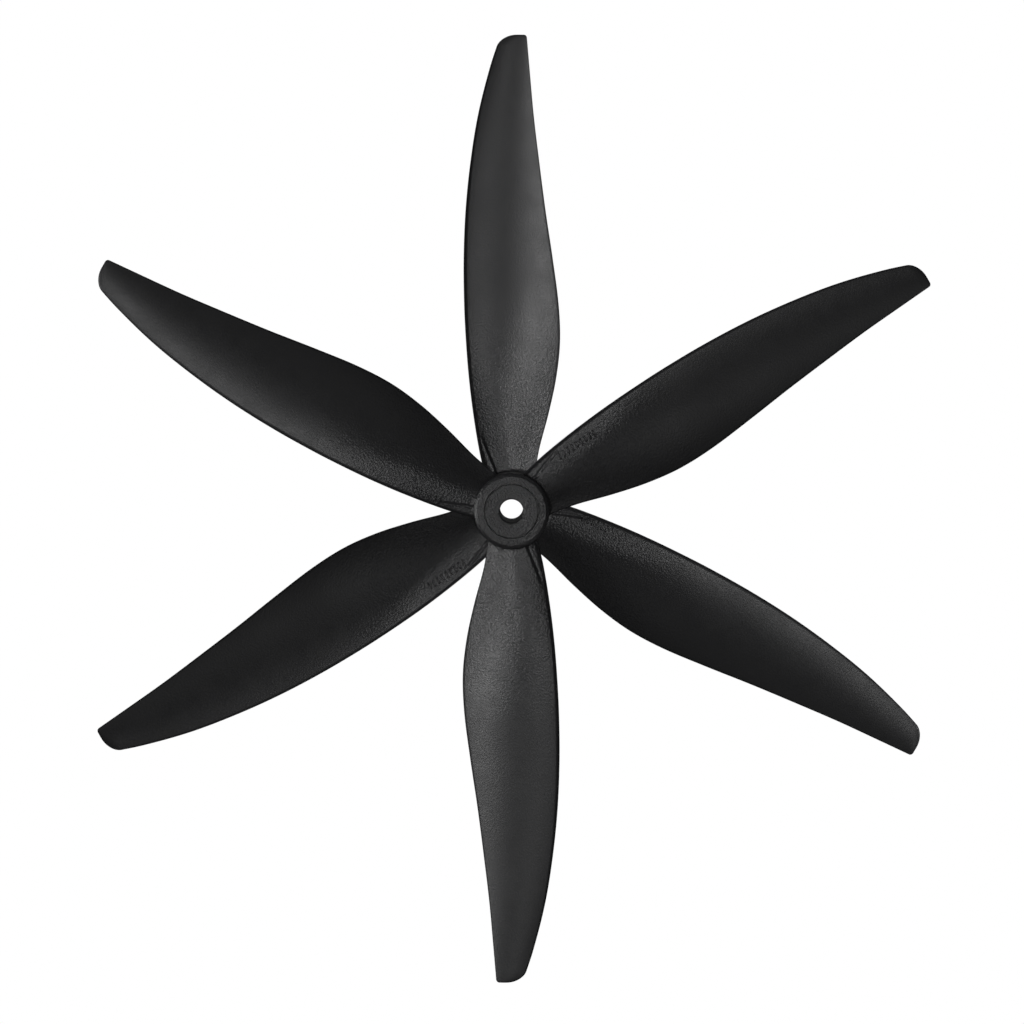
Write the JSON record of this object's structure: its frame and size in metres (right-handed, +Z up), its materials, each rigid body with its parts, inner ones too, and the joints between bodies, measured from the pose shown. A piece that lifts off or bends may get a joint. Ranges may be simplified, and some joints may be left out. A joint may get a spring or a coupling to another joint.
{
  "type": "stacked drone propellers",
  "caption": "Pair of multi-blade drone propellers stacked on a shared motor shaft bore and turned apart, to give lift.",
  "frame": {"origin": "on the shared bore axis, at the lower hub's flat bottom face", "axes": "+Z up along the bore axis, from the lower propeller to the upper one; +Y along one of the lower propeller's blades"},
  "size_m": [0.1788, 0.2032, 0.0183],
  "materials": {
    "lower_propeller": "black glass-filled nylon with a fine spark-eroded grain",
    "upper_propeller": "black glass-filled nylon with a fine spark-eroded grain"
  },
  "bodies": {
    "lower": {"lower_propeller": "lower_propeller"},
    "upper": {"upper_propeller": "upper_propeller"}
  },
  "joints": [
    {"name": "index_turn", "type": "hinge", "parent": "lower", "child": "upper", "pos_m": [0, 0, 0.0093], "axis": [0, 0, 1], "continuous": true}
  ]
}
